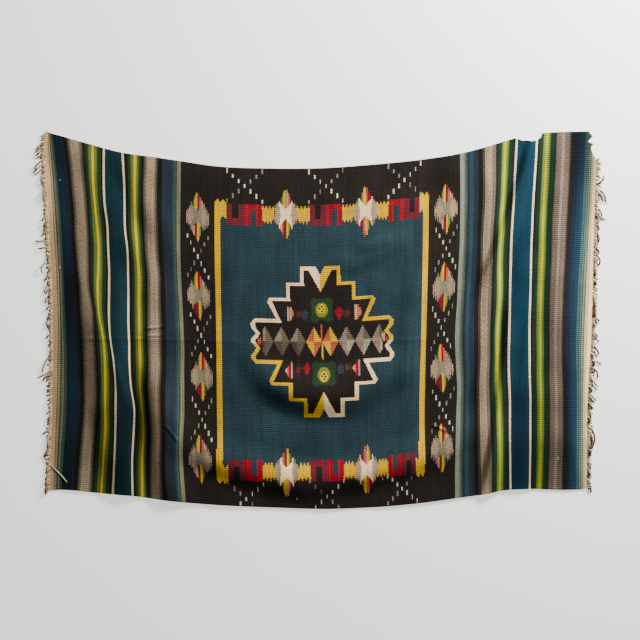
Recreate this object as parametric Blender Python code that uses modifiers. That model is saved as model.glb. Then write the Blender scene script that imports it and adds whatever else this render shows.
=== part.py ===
"""A serape: a weft-faced wool blanket woven in one width, laid out on a flat surface.

Metres, +Z up. +X runs along the warp (the length), +Y across the loom width. The origin lies on the
surface below the middle of the cloth. The web is a 2 mm wall that rests on z = 0 and lifts off it
only in its folds. At each end a narrow heading strip, parted from the web, carries the fringe.
"""

import math
import random

import bmesh
import bpy
import numpy as np

# Cut of the web, before it is laid.
LENGTH = 1.88
WIDTH = 1.22
WALL = 0.002
HEADING = 0.018
SEAM_GAP = 0.0003

# The middle of the laid piece's box in the frame that the tables below use. It becomes the origin.
MIDDLE = (0.0061, 0.0019)

# How finely the web is divided. A heading has the web's rows, so that the two meet edge to edge.
WEB_COLUMNS = 88
ROWS = 20

# Fringe: tapering four-sided strands that grow out of the heading's outer edge.
STRANDS_PER_ROW = 5
STRAND_ROOT = 0.0036
ROOT_SHIFT = 0.0012
STRAND_REACH = 0.031
REACH_SPREAD = 0.004
DROOP = 0.021
DROOP_WAVE = 0.006
DROOP_SPREAD = 0.0022
DROOP_BEND = 1.35
CURL = 0.0018
RISE_LOWEST = 0.001
RISE_HIGHEST = 0.0035
FLOOR_CLEARANCE = 0.0005
# Each ring of a strand: its share of the length, its width and its thickness. The tip is a point.
STRAND_RINGS = (
    (0.25, 0.0032, 0.0018),
    (0.50, 0.0026, 0.0016),
    (0.76, 0.0020, 0.0013),
)

# Where the laid web lies. A row for each section across it: how far along the cut length the section
# is, the x of its points at five even steps from the lower selvedge to the upper, and the y of its
# two selvedges.
#    along   x_bottom x_lower x_middle x_upper x_top   y_bottom y_top
SECTIONS = (
    (-0.940, -0.925, -0.918, -0.915, -0.930, -0.945, -0.580, 0.646),
    (-0.917, -0.909, -0.896, -0.893, -0.908, -0.929, -0.578, 0.642),
    (-0.892, -0.885, -0.866, -0.870, -0.883, -0.910, -0.577, 0.637),
    (-0.793, -0.779, -0.766, -0.770, -0.784, -0.812, -0.586, 0.606),
    (-0.762, -0.747, -0.732, -0.746, -0.756, -0.776, -0.589, 0.596),
    (-0.661, -0.644, -0.634, -0.652, -0.658, -0.670, -0.598, 0.571),
    (-0.548, -0.532, -0.535, -0.538, -0.543, -0.553, -0.612, 0.554),
    (-0.475, -0.460, -0.466, -0.469, -0.474, -0.476, -0.620, 0.543),
    (-0.358, -0.345, -0.351, -0.354, -0.359, -0.359, -0.629, 0.526),
    (-0.172, -0.164, -0.168, -0.169, -0.173, -0.174, -0.637, 0.518),
    (0.009, 0.015, 0.011, 0.008, 0.005, 0.005, -0.642, 0.519),
    (0.183, 0.187, 0.182, 0.180, 0.178, 0.178, -0.636, 0.531),
    (0.366, 0.360, 0.353, 0.360, 0.366, 0.369, -0.620, 0.551),
    (0.475, 0.463, 0.462, 0.467, 0.474, 0.478, -0.606, 0.569),
    (0.597, 0.585, 0.581, 0.584, 0.594, 0.605, -0.586, 0.603),
    (0.624, 0.612, 0.608, 0.609, 0.617, 0.633, -0.581, 0.612),
    (0.728, 0.713, 0.712, 0.713, 0.720, 0.737, -0.574, 0.635),
    (0.848, 0.827, 0.829, 0.834, 0.841, 0.856, -0.577, 0.643),
    (0.924, 0.900, 0.902, 0.911, 0.923, 0.936, -0.574, 0.644),
    (0.940, 0.913, 0.915, 0.926, 0.938, 0.951, -0.572, 0.644),
)

# The folds that lift off the surface. A row for each: the two ends of its crest, how far the crest
# bows to its left, its height, and its reach on its left and right sides. Left and right are as seen
# from the first end, looking to the second.
#    x_from  y_from  x_to    y_to    bow     height left   right
FOLDS = (
    (-0.822, 0.800, -0.787, -0.460, 0.010, 0.013, 0.055, 0.030),
    (-0.570, 0.800, -0.560, -0.800, 0.012, 0.015, 0.060, 0.050),
    (-0.700, 0.300, -0.655, -0.740, 0.004, 0.010, 0.030, 0.050),
    (0.600, 0.860, 0.560, -0.800, 0.006, 0.017, 0.026, 0.060),
    (0.690, 0.460, 0.680, -0.760, 0.006, 0.009, 0.040, 0.060),
    (0.822, 0.780, 0.795, -0.300, 0.004, 0.008, 0.050, 0.050),
    (-0.330, -0.190, 0.420, -0.130, -0.130, 0.016, 0.055, 0.085),
    (-0.240, -0.500, 0.560, -0.420, -0.070, 0.010, 0.070, 0.080),
    (0.020, 0.170, 0.320, 0.330, -0.030, 0.008, 0.060, 0.045),
    (-0.330, 0.020, -0.130, 0.340, 0.040, 0.006, 0.060, 0.060),
    (0.300, -0.330, 0.350, 0.290, 0.020, 0.007, 0.050, 0.045),
)
FOLD_FADE = 0.28
EDGE_REST = 0.020
EDGE_RISE = 0.075


def eased(share):
    """0 to 1 with a level start and end, for a share that may run past either."""
    share = np.clip(share, 0.0, 1.0)
    return share * share * (3.0 - 2.0 * share)


def through_rows(knots, values, at):
    """The smooth curve through a table's values, read at one or more places."""
    slopes = np.gradient(values, knots)
    index = np.clip(np.searchsorted(knots, at) - 1, 0, len(knots) - 2)
    span = knots[index + 1] - knots[index]
    t = (at - knots[index]) / span
    start = (2 * t**3 - 3 * t**2 + 1) * values[index] + (t**3 - 2 * t**2 + t) * span * slopes[index]
    end = (3 * t**2 - 2 * t**3) * values[index + 1] + (t**3 - t**2) * span * slopes[index + 1]
    return start + end


def laid_plan(along, across):
    """Where a point of the cut web lies on the surface, as x and y."""
    table = np.array(SECTIONS)
    columns = [through_rows(table[:, 0], table[:, k], np.array([along]))[0] for k in range(1, 8)]
    share = across / WIDTH + 0.5
    x = through_rows(np.linspace(0.0, 1.0, 5), np.array(columns[:5]), np.array([share]))[0]
    y = columns[5] + (columns[6] - columns[5]) * share
    return x, y


def fold_lift(fold, x, y):
    """How far one fold lifts the web at a place on the surface."""
    x_from, y_from, x_to, y_to, bow, height, left, right = fold
    run_x, run_y = x_to - x_from, y_to - y_from
    run = math.hypot(run_x, run_y)
    share = ((x - x_from) * run_x + (y - y_from) * run_y) / run**2
    if not 0.0 < share < 1.0:
        return 0.0
    side = ((y - y_from) * run_x - (x - x_from) * run_y) / run - 4 * bow * share * (1 - share)
    reach = left if side > 0 else right
    if abs(side) >= reach:
        return 0.0
    fade = eased(share / FOLD_FADE) * eased((1 - share) / FOLD_FADE)
    return height * float(fade) * math.cos(0.5 * math.pi * side / reach) ** 2


def lift(along, x, y):
    """How high the underside of the web lies above the surface. Both ends of the web lie flat."""
    from_end = LENGTH / 2 - abs(along)
    settle = float(eased((from_end - EDGE_REST) / EDGE_RISE))
    return settle * sum(fold_lift(fold, x, y) for fold in FOLDS)


def laid_point(along, across):
    x, y = laid_plan(along, across)
    return (x, y, lift(along, x, y))


def wool(name, colour):
    material = bpy.data.materials.new(name)
    material.use_nodes = True
    shader = material.node_tree.nodes["Principled BSDF"]
    shader.inputs["Base Color"].default_value = (*colour, 1.0)
    shader.inputs["Roughness"].default_value = 0.9
    shader.inputs["Metallic"].default_value = 0.0
    return material


def add_object(name, mesh, material, collection):
    mesh.materials.append(material)
    piece = bpy.data.objects.new(name, mesh)
    piece.location = (-MIDDLE[0], -MIDDLE[1], 0.0)
    collection.objects.link(piece)
    return piece


def grid_mesh(name, points):
    """An open surface through rows of points, facing up."""
    columns = len(points)
    rows = len(points[0])
    flat = [point for column in points for point in column]
    faces = [
        (c * rows + r, (c + 1) * rows + r, (c + 1) * rows + r + 1, c * rows + r + 1)
        for c in range(columns - 1)
        for r in range(rows - 1)
    ]
    mesh = bpy.data.meshes.new(name)
    mesh.from_pydata(flat, [], faces)
    mesh.shade_smooth()
    return mesh


def add_web(collection):
    """The web between the headings: an open surface on the floor with its wall above it."""
    end = LENGTH / 2 - HEADING - SEAM_GAP
    points = [
        [laid_point(along, across) for across in np.linspace(-WIDTH / 2, WIDTH / 2, ROWS + 1)]
        for along in np.linspace(-end, end, WEB_COLUMNS + 1)
    ]
    mesh = grid_mesh("serape_cloth", points)
    web = add_object("serape_cloth", mesh, wool("tapestry_wool", (0.022, 0.062, 0.088)), collection)
    wall = web.modifiers.new("wall", "SOLIDIFY")
    wall.thickness = WALL
    wall.offset = 1.0
    return web


def heading_point(along, across):
    """A point of a heading, on the straight line between the web's rows on either side of it."""
    row = min(int((across / WIDTH + 0.5) * ROWS), ROWS - 1)
    low = (row / ROWS - 0.5) * WIDTH
    high = ((row + 1) / ROWS - 0.5) * WIDTH
    share = (across - low) / (high - low)
    x_low, y_low = laid_plan(along, low)
    x_high, y_high = laid_plan(along, high)
    return (x_low + (x_high - x_low) * share, y_low + (y_high - y_low) * share, 0.0)


def root_spans(rng):
    """Each strand's root along the heading's edge, as the across values of its two sides."""
    count = ROWS * STRANDS_PER_ROW
    cell = WIDTH / count
    spans = []
    for number in range(count):
        middle = (number + 0.5) * cell - WIDTH / 2 + rng.uniform(-ROOT_SHIFT, ROOT_SHIFT)
        spans.append((middle - STRAND_ROOT / 2, middle + STRAND_ROOT / 2))
    return spans


def heading_lines(spans):
    """The across values at which a heading is divided: its rows and the sides of its roots."""
    values = {round(side, 6) for span in spans for side in span}
    values.update(round((row / ROWS - 0.5) * WIDTH, 6) for row in range(ROWS + 1))
    return sorted(values)


def extrude_to(bm, face, middle, width, thickness):
    """Grows one strand by a ring: a face facing along X, at the middle given."""
    grown = bmesh.ops.extrude_discrete_faces(bm, faces=[face])["faces"][0]
    old = grown.calc_center_median()
    half_y = max(vert.co.y for vert in grown.verts) - old.y
    half_z = max(vert.co.z for vert in grown.verts) - old.z
    for vert in grown.verts:
        to_y = math.copysign(0.5 * width, vert.co.y - old.y) if half_y else 0.0
        to_z = math.copysign(0.5 * thickness, vert.co.z - old.z) if half_z else 0.0
        vert.co = (middle[0], middle[1] + to_y, middle[2] + to_z)
    return grown


def grow_strand(bm, face, outward, across, rng):
    """One strand out of its root face: it droops to -Y with its neighbours and comes to a point."""
    root = face.calc_center_median()
    reach = STRAND_REACH + REACH_SPREAD * (math.sin(23.0 * across) + rng.uniform(-1, 1))
    droop = DROOP + DROOP_WAVE * math.sin(11.0 * across + 1.7 * outward)
    droop += DROOP_SPREAD * rng.uniform(-1, 1)
    curl = CURL * math.sin(37.0 * across)
    rise = rng.uniform(RISE_LOWEST, RISE_HIGHEST)
    for share, width, thickness in STRAND_RINGS:
        lowest = FLOOR_CLEARANCE + rise * math.sin(math.pi * share)
        middle = (
            root.x + outward * reach * share,
            root.y - droop * share**DROOP_BEND + curl * math.sin(2.0 * math.pi * share),
            lowest + thickness / 2,
        )
        face = extrude_to(bm, face, middle, width, thickness)
    tip = (root.x + outward * reach, root.y - droop, 2 * FLOOR_CLEARANCE)
    face = bmesh.ops.extrude_discrete_faces(bm, faces=[face])["faces"][0]
    bmesh.ops.pointmerge(bm, verts=list(face.verts), merge_co=tip)


def add_fringe(name, outward, seed, collection):
    """A heading strip with its strands, as one body. outward is -1 at the left end, 1 at the right."""
    rng = random.Random(seed)
    spans = root_spans(rng)
    lines = heading_lines(spans)
    inner = outward * (LENGTH / 2 - HEADING)
    outer = outward * LENGTH / 2
    ends = (inner, outer) if outward > 0 else (outer, inner)
    points = [[heading_point(along, across) for across in lines] for along in ends]
    mesh = grid_mesh(name, points)

    bm = bmesh.new()
    bm.from_mesh(mesh)
    raised = bmesh.ops.extrude_face_region(bm, geom=bm.faces[:])["geom"]
    upper = [item for item in raised if isinstance(item, bmesh.types.BMVert)]
    bmesh.ops.translate(bm, vec=(0.0, 0.0, WALL), verts=upper)
    bmesh.ops.recalc_face_normals(bm, faces=bm.faces[:])

    starts = {round(span[0], 6) for span in spans}
    edge_faces = sorted(
        (face for face in bm.faces if face.normal.x * outward > 0.5),
        key=lambda face: face.calc_center_median().y,
    )
    for across, face in zip(lines, edge_faces, strict=False):
        if across in starts:
            grow_strand(bm, face, outward, across, rng)
    bm.to_mesh(mesh)
    bm.free()
    return add_object(name, mesh, wool("natural_wool_" + name, (0.52, 0.38, 0.24)), collection)


def main():
    for old in list(bpy.data.objects):
        bpy.data.objects.remove(old, do_unlink=True)
    collection = bpy.data.collections.new("serape")
    bpy.context.scene.collection.children.link(collection)
    add_web(collection)
    add_fringe("fringe_left", -1, 11, collection)
    add_fringe("fringe_right", 1, 23, collection)


main()
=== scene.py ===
"""The looks of a wool serape laid out on a pale floor: its tapestry weave, its folds and its fringe.

Metres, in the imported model's frame: +X along the warp, +Y across the loom width, +Z up. The cloth is
worked out in the flat first: u runs along the warp and v across it, both from the middle of the cut.
laid_surface() then lays the flat cloth in its folds. The tables are in millimetres.
"""

import math
import random

import bpy
import numpy as np
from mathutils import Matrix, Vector


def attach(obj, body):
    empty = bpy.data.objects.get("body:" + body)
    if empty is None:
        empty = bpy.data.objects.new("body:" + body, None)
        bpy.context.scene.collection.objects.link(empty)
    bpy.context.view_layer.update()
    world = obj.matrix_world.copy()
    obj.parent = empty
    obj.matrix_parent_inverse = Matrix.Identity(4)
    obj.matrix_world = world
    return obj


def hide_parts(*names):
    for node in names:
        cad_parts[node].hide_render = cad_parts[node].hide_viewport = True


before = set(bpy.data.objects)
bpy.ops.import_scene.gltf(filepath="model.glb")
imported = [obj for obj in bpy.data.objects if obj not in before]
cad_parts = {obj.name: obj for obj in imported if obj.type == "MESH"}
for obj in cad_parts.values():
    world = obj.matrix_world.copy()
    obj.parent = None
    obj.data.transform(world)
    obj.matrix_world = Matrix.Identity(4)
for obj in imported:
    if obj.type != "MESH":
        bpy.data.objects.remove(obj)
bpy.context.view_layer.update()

MM = 0.001

# --- The cut and how it lies, as in the solids ---
LENGTH = 1.88
WIDTH = 1.22
WALL = 0.002
# The middle of the laid serape's box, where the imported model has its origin.
MIDDLE = (0.0061, 0.0019)

#    along x_bottom x_lower x_middle x_upper x_top y_bottom y_top
SECTIONS = (
    (-940, -925, -918, -915, -930, -945, -580, 646),
    (-917, -909, -896, -893, -908, -929, -578, 642),
    (-892, -885, -866, -870, -883, -910, -577, 637),
    (-793, -779, -766, -770, -784, -812, -586, 606),
    (-762, -747, -732, -746, -756, -776, -589, 596),
    (-661, -644, -634, -652, -658, -670, -598, 571),
    (-548, -532, -535, -538, -543, -553, -612, 554),
    (-475, -460, -466, -469, -474, -476, -620, 543),
    (-358, -345, -351, -354, -359, -359, -629, 526),
    (-172, -164, -168, -169, -173, -174, -637, 518),
    (9, 15, 11, 8, 5, 5, -642, 519),
    (183, 187, 182, 180, 178, 178, -636, 531),
    (366, 360, 353, 360, 366, 369, -620, 551),
    (475, 463, 462, 467, 474, 478, -606, 569),
    (597, 585, 581, 584, 594, 605, -586, 603),
    (624, 612, 608, 609, 617, 633, -581, 612),
    (728, 713, 712, 713, 720, 737, -574, 635),
    (848, 827, 829, 834, 841, 856, -577, 643),
    (924, 900, 902, 911, 923, 936, -574, 644),
    (940, 913, 915, 926, 938, 951, -572, 644),
)

# Folds and creases. A row for each: the two ends of its crest, how far the crest bows to its left, its
# height, and its reach on its left and right sides, seen from the first end looking to the second. The
# folds run where the solids' do, a little softer, since the swags below share their height.
#    x_from y_from x_to y_to bow height left right
FOLDS = (
    (-822, 800, -777, -460, 12, 4, 80, 52),
    (-590, 800, -545, -800, 16, 4, 80, 60),
    (-700, 300, -655, -740, 4, 6, 45, 60),
    (600, 860, 560, -800, 6, 8, 40, 70),
    (690, 460, 680, -760, 6, 6, 50, 65),
    (822, 780, 795, -300, 4, 6, 55, 55),
    (-310, -120, 370, -50, -170, 16, 120, 105),
    (-240, -500, 560, -420, -70, 4, 70, 80),
    (20, 170, 320, 330, -30, 5, 70, 50),
    (-330, 20, -130, 340, 40, 6, 70, 70),
    (300, -330, 350, 290, 20, 5, 60, 55),
)
# Over what share of its run a fold fades out, and where the web's ends lie flat and rise from, in metres.
FOLD_FADE = 0.28
EDGE_REST = 0.020
EDGE_RISE = 0.075

# The soft swags between the folds, and finer creases, which only the looks have.
CREASES = (
    (-567, 140, -403, -480, -55, 8, 130, 100),
    (-600, -345, 110, -585, -45, 11, 110, 80),
    (-65, -550, 600, -330, -40, 11, 100, 80),
    (-750, 200, -675, -710, -10, 13, 120, 80),
    (-585, -80, -480, -730, -8, 13, 110, 85),
    (-865, 720, -480, -30, -30, 3, 80, 70),
    (-730, 650, -435, 175, -20, 2.5, 70, 60),
    (745, 700, 520, 60, 20, 14, 60, 30),
    (650, 160, 535, -700, 20, 12, 55, 28),
    (460, -440, 1100, -400, 0, 8, 120, 150),
    (650, 20, 1200, 60, 0, 7, 300, 250),
    (-600, -30, -515, -20, 2, 1.8, 7, 9),
    (-598, -52, -520, -47, -2, 1.6, 7, 8),
    (-530, -350, -478, -420, 3, 2.2, 9, 12),
    (372, -352, 445, -384, 2, 2.2, 8, 12),
    (-930, -62, -200, -74, 4, 0.8, 12, 14),
    (-200, -76, 500, -60, -3, 0.6, 14, 14),
    (-705, -100, -620, -360, -6, 3, 22, 34),
    (110, 245, 262, 290, -6, 1.8, 30, 34),
)

# Long low waves over the whole web, in metres: wave lengths along x and y, shift and height.
WAVES = (
    (0.310, -0.520, 0.4, 0.0007),
    (-0.190, 0.330, 2.1, 0.0004),
    (0.145, 0.900, 4.0, 0.0003),
    (0.900, 0.140, 1.2, 0.0004),
)

# How far the wefts waver along the web, away from the nearer end: a row for each v, with the waver of
# the wefts that lie this far from the end.
LEFT_WAVER_KNOTS = (0, 24, 103, 138, 175, 210, 275, 310, 466, 590)
LEFT_WAVER = (
    (-610, 0, 2, 6, 5, 6.5, 9, 10, 5, 2, 0),
    (-460, 0, 0, 7.5, 6, 8, 7, 2.5, 0.5, -4, 0),
    (-380, 0, 0, 9.5, 9, 9, 5, 3.5, 2.5, -2, 0),
    (-300, 0, 0, 11, 12, 6.5, 5, 5, -1, 3, 0),
    (-220, 0, 0, 9, 11.5, 9, 7.5, -3, -6, 4, 0),
    (-140, 0, 0, 8.5, 7.5, 11.5, 7, -2, -1.5, 4, 0),
    (-60, 0, 0, 6, 5.5, 9, 2, 2.5, 0.5, 5, 0),
    (20, 0, 0, 2.5, 4, -1.5, 1.5, 3.5, 2.5, 3, 0),
    (100, 0, 0, 0.5, -6, -3.5, 3.5, 5.5, 3, 1, 0),
    (180, 0, 0, -3.5, -6.5, 0.5, 4.5, 5.5, 4.5, -2, 0),
    (260, 0, 0, -5, -3, 4, 2.5, 5, 0.5, -3, 0),
    (340, 0, 0, -2, -1.5, 1.5, 2.5, -1.5, -3.5, -3, 0),
    (420, 0, 0, 0, 2, -1, -3, 0, -3.5, -2, 0),
    (500, 0, 0, 1.5, 3, 0, -1.5, 2, -1, -1, 0),
    (560, 3, 0, 2, 4.5, 4, 1.5, 1.5, 2, 0, 0),
    (585, 9, 1, 2.5, 5.5, 5.5, 3, 1, 3, 0.5, 0),
    (610, 16, 2, 3, 6, 7, 4.5, 1, 4, 1, 0),
)
RIGHT_WAVER_KNOTS = (0, 18, 175, 210, 275, 310, 370, 466, 590)
RIGHT_WAVER = (
    (-610, 0, 0, 3, 1, 0, 0, -7, 2, 0),
    (-460, -1, 0, 0, 0, 1, -2, -5, 1, 0),
    (-300, -2, 0, -2, -2, -1, 0, -3, -3, 0),
    (-220, -4, 0, 0, 0, 2, 3, -1, -5, 0),
    (-140, -8, 0, 0, 1, 3, 4, -4, 0, 0),
    (-60, -8, 0, 2, 2, 1, 4, -3, 5, 0),
    (100, -6, 0, 1, 0, -1, -2, -1, 1, 0),
    (180, -4, 0, -1, 0, -2, 2, -2, 0, 0),
    (300, -1, 0, -1, -1, -1, 0, 0, -3, 0),
    (420, 0, 0, -2, -1, -2, -2, -4, -3, 0),
    (610, 0, 0, 0, 0, 0, 0, 0, 0, 0),
)

# Worn-away edges: how far in the web stops at the upper corner of the right end, by v, and in the
# upper side edge, by u.
CORNER_BITE = (
    (-610, 0), (511, 0), (519, 7), (527, 16), (549, 26), (561, 25), (568, 17), (575, 40), (594, 22),
    (604, 33), (610, 34),
)
SIDE_BITE = (
    (654, 0), (661, 1), (667, 5), (679, 14), (694, 16), (711, 23), (722, 22), (731, 20), (740, 18),
    (744.5, 12), (745.5, 0),
)
# From where along u and v the threads crowd towards them, and how much further in the underside is, in
# metres.
BITE_FROM = (0.860, 0.520)
BITE_UNDER = 0.010

# Painted light and shade: lighter and darker patches in the yarn's colour that stand in for how light falls
# over the folds and ends. u, v, reach along each, and the change of light in stops.
PAINTED_LIGHT_AND_SHADE = (
    (885, 580, 80, 300, -1.6), (920, 440, 35, 200, -0.5), (-675, -400, 110, 340, -1.2),
    (-820, -440, 45, 250, -0.8), (725, -420, 90, 280, -1), (820, -450, 90, 220, -0.7),
    (-610, -30, 40, 260, 0.9), (-530, -250, 50, 160, 0.7), (-875, 370, 40, 280, 0.9),
    (-930, 440, 50, 240, 0.9), (-875, 50, 40, 160, -0.6), (-875, -300, 40, 220, 0.6),
    (-170, -330, 160, 130, 0.4), (420, 560, 80, 130, -0.6), (535, 0, 50, 250, 0.5),
    (630, 110, 60, 150, 0.4), (935, -80, 35, 500, 0.6),
)

# --- Yarns, by how strongly light and dark fibres are carded into them: the sRGB colour of each ---
YARNS = {
    0.2: {
        "teal_deep": (14, 32, 41), "teal": (20, 44, 52), "teal_sea": (18, 47, 62),
        "teal_bright": (27, 54, 67), "teal_blue": (26, 46, 61), "navy": (22, 30, 38),
        "navy_blue": (22, 34, 48), "black": (24, 20, 17), "soot": (27, 26, 28), "pine": (32, 50, 28),
        "bottle": (21, 45, 28), "moss": (48, 68, 36), "lime": (88, 106, 46), "lime_bright": (88, 116, 48),
        "brass": (122, 124, 26), "brass_bright": (140, 140, 20), "gold": (208, 170, 0),
        "lemon": (176, 154, 0), "bar_gold": (206, 162, 0), "comb_gold": (200, 152, 0),
        "crimson": (98, 34, 41), "red": (130, 15, 30), "scarlet": (152, 20, 32), "yolk": (210, 174, 0),
        "maroon": (84, 30, 36), "fleck_white": (200, 190, 170), "fleck_grey": (126, 118, 106),
    },
    0.3: {
        "heading_dim": (92, 74, 50), "straw_sage": (138, 127, 98), "straw_line": (172, 150, 108),
        "straw_pale": (172, 166, 118), "olive": (54, 52, 34), "sage_pale": (94, 98, 74),
        "sage_deep": (52, 62, 56), "mist_sage": (88, 112, 98), "mist_dull": (56, 76, 70),
        "mist_teal": (62, 88, 90), "field_teal": (36, 55, 62), "border_black": (34, 29, 26),
        "slate": (32, 41, 48), "slate_teal": (36, 58, 66), "sage_grey": (62, 77, 71),
        "khaki": (111, 114, 91), "mist_green": (118, 126, 110), "plum": (92, 34, 48), "rose": (182, 78, 70),
        "rose_pale": (184, 140, 116), "clay": (168, 82, 56), "fern": (38, 56, 36), "lichen": (116, 118, 40),
        "dusk_blue": (43, 52, 60),
    },
    0.4: {"bone": (240, 208, 160)},
    0.5: {
        "heading_tan": (178, 146, 106), "heading_cream": (230, 196, 146), "cream": (232, 212, 166),
        "cream_bright": (226, 206, 166), "ash_pink": (151, 127, 103), "mist": (116, 114, 90),
    },
    0.7: {
        # The darker copies of the lozenge sage and taupe are painted shade, for the lower quarters of the
        # left lozenges.
        "lodge_sage": (118, 116, 96), "lodge_sage_dim": (84, 80, 66), "lodge_taupe": (100, 82, 69),
        "lodge_taupe_dim": (78, 62, 54), "lodge_mist": (146, 146, 118), "lodge_ash": (136, 108, 92),
    },
    0.8: {"brown": (70, 60, 52)},
    1.0: {
        "taupe_dark": (109, 97, 83), "taupe": (98, 84, 73), "taupe_mid": (126, 111, 99),
        "taupe_pale": (158, 138, 112), "taupe_light": (156, 136, 109),
    },
}
YARN_NAMES = [name for group in YARNS.values() for name in group]

# Yarns whose wefts sink so deep between the warps that a dark tick of painted shade shows at each.
DEEP_RIBS = {"cream": 1.0, "cream_bright": 1.0, "gold": 0.4, "lemon": 0.4, "taupe_pale": 0.3}

# --- Stripes at the two ends: the distance from the end of the web that each yarn is woven up to ---
# The yarns of a green band with its golden middle.
GREENS = ("pine", "moss", "lime", "brass", "gold", "brass", "lime", "moss", "pine")
BRIGHT_GREENS = (
    "bottle", "moss", "lime_bright", "brass_bright", "lemon", "brass_bright", "lime_bright", "moss", "bottle",
)
LEFT_STRIPES = (
    (21.5, "heading_tan"), (24, "heading_dim"), (30.5, "straw_sage"), (34, "olive"), (40.5, "sage_pale"),
    (48.5, "sage_deep"), (70, "teal_deep"), (86, "navy"), (96.5, "black"), (101, "brown"),
    (107, "taupe_dark"), (133, "taupe_pale"), (139, "taupe_dark"), (144, "brown"), (149, "black"),
    *zip((157, 160, 168, 169.5, 177, 178.5, 186, 189.5, 200), GREENS),
    (206.5, "black"), (213.5, "cream"), (215.5, "slate_teal"), (272, "teal"), (278.5, "cream"),
    (281, "brown"), (289, "black"),
    *zip((297, 299.5, 307, 308.5, 316.5, 318, 325, 328, 335), GREENS),
    (341, "black"), (345, "brown"), (352, "taupe_dark"), (377, "taupe_pale"), (382.5, "taupe_dark"),
    (388.5, "brown"), (404, "black"), (437, "slate"), (443.5, "slate_teal"), (449.5, "sage_grey"),
    (453, "olive"), (466, "khaki"),
)
RIGHT_STRIPES = (
    (15, "heading_cream"), (17.5, "straw_line"), (23, "straw_pale"), (25.5, "mist_dull"),
    (30, "mist_green"), (32.5, "mist_dull"), (36, "mist_sage"), (39, "mist_dull"), (45, "mist_teal"),
    (56, "teal_bright"), (66, "teal_blue"), (76, "navy_blue"), (92, "soot"), (96, "brown"), (113, "taupe"),
    (122.5, "taupe_mid"), (139, "taupe"), (143, "brown"), (147.5, "soot"),
    *zip((160.5, 163, 169, 170.5, 177.5, 179, 185.5, 188, 198), BRIGHT_GREENS),
    (207, "soot"), (213.5, "cream_bright"), (215.5, "slate_teal"), (276, "teal_sea"),
    (282.5, "cream_bright"), (285, "brown"), (292, "soot"),
    *zip((304, 306, 311.5, 313, 320, 321.5, 327.5, 330, 340), BRIGHT_GREENS),
    (347.5, "soot"), (350.5, "brown"), (360.5, "taupe_dark"), (385, "taupe_light"), (393, "brown"),
    (406, "soot"), (422, "slate"), (435, "slate_teal"), (443, "slate"), (449, "sage_grey"),
    (453, "sage_pale"), (466.5, "mist_green"),
)

# --- Motifs ---
# The two strips across the field: v of the middle, the side that the border lies on (1 up, -1 down),
# a shift along u, and how far v of the middle climbs for each millimetre of u.
STRIPS = ((442, 1, 0, 0), (-473, -1, -4, 0.024))
STRIP_HALF = 38

# The side bars of the field: inner and outer u, and the u that the corner block reaches to.
BARS = ((-339, -358, -318), (350, 368, 338))
# A corner block's peaks, in shares of its width, and its notch: where it is, the foot's v and its own v.
CORNER_PEAKS = ((0.0, 37), (0.25, 52), (0.48, 37), (0.70, 52), (1.0, 37))
CORNER_NOTCH = (0.28, -22, -8)

# The key blocks of a strip, u_from, u_to, and the side on which the crimson hook stands.
KEYS = ((-318, -196, "left"), (-32, 81, "left"), (236, 338, "right"))
KEY_NOTCH_DEPTH = 53
# The streaks of a hook, in thirds of its width.
KEY_STREAKS = ((0.7, 1.0), (2.4, 2.75))

# The combs of a strip, from the key block to the star that each stands beside.
COMBS = ((-196, -154), (-33, -78), (81, 123), (236, 196))
# The low and high side of a comb, from what share of its run its low side is cut away and how high,
# and where its teeth stand.
COMB_BODY = (-20, 23.5)
COMB_CUT = (0.78, 14)
COMB_OUTER_TEETH = (0.06, 0.34, 0.62, 0.90)
COMB_INNER_TEETH = (0.20, 0.46, 0.72)
TOOTH_HALF = 5
TOOTH_ROOT = 2
TOOTH_HEIGHT = 12

# The stars of the strips: their u, and which set of ray yarns they have.
STRIP_STARS = ((-115, 0), (160, 1))

# Half of a star's body, from the notch in its outer edge round to the notch in its inner edge, with a
# sharp tooth for each step of the weave: distance from its axis, and height above the strip's middle.
STRIP_STAR_HALF = (
    (0, 23), (18, 44), (23, 55), (25.5, 36), (30, 47), (32.5, 27), (36.5, 37), (38, 20), (39, -16),
    (35.5, -31), (33, -17), (28.5, -42), (26, -24), (22, -52), (17, -34), (0, -12),
)
SIDE_STAR_HALF = (
    (0, 18), (18, 40), (23, 54), (24.5, 26), (28.5, 43), (30, 14), (33.5, 32), (34.5, 4), (37.5, 20),
    (38.5, -18), (35, -34), (33, -8), (28, -45), (26, -18), (21.5, -54), (17, -36), (0, -18),
)

# Rays of a star, columns of yarn in its notches: from and to beside the axis, reach of the tip, and
# the yarn in each of the two sets.
OUTER_RAYS = (
    (-20, -14, 62, "fern", "fern"), (-14, -9, 76, "lichen", "lichen"), (-9, 0, 93, "bar_gold", "bar_gold"),
    (0, 2.5, 80, "maroon", "clay"), (2.5, 8, 94, "rose_pale", "rose"), (8, 14, 80, "rose", "red"),
    (14, 20, 68, "crimson", "red"),
)
INNER_RAYS = (
    (-20, -14, 56, "rose_pale", "red"), (-14, -8, 70, "rose", "crimson"), (-8, -1, 86, "crimson", "rose"),
    (-1, 1.5, 70, "maroon", "rose_pale"), (1.5, 8, 84, "bar_gold", "bar_gold"),
    (8, 13, 70, "lichen", "lichen"), (13, 18, 56, "fern", "fern"),
)
SIDE_OUTER_RAYS = (
    (-19, -13, 56, "fern", "fern"), (-13, -8, 72, "lichen", "lichen"), (-8, -1, 89, "bar_gold", "bar_gold"),
    (-1, 6.5, 91, "crimson", "red"), (6.5, 13, 74, "rose", "rose"), (13, 19, 60, "rose_pale", "rose_pale"),
)
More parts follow.
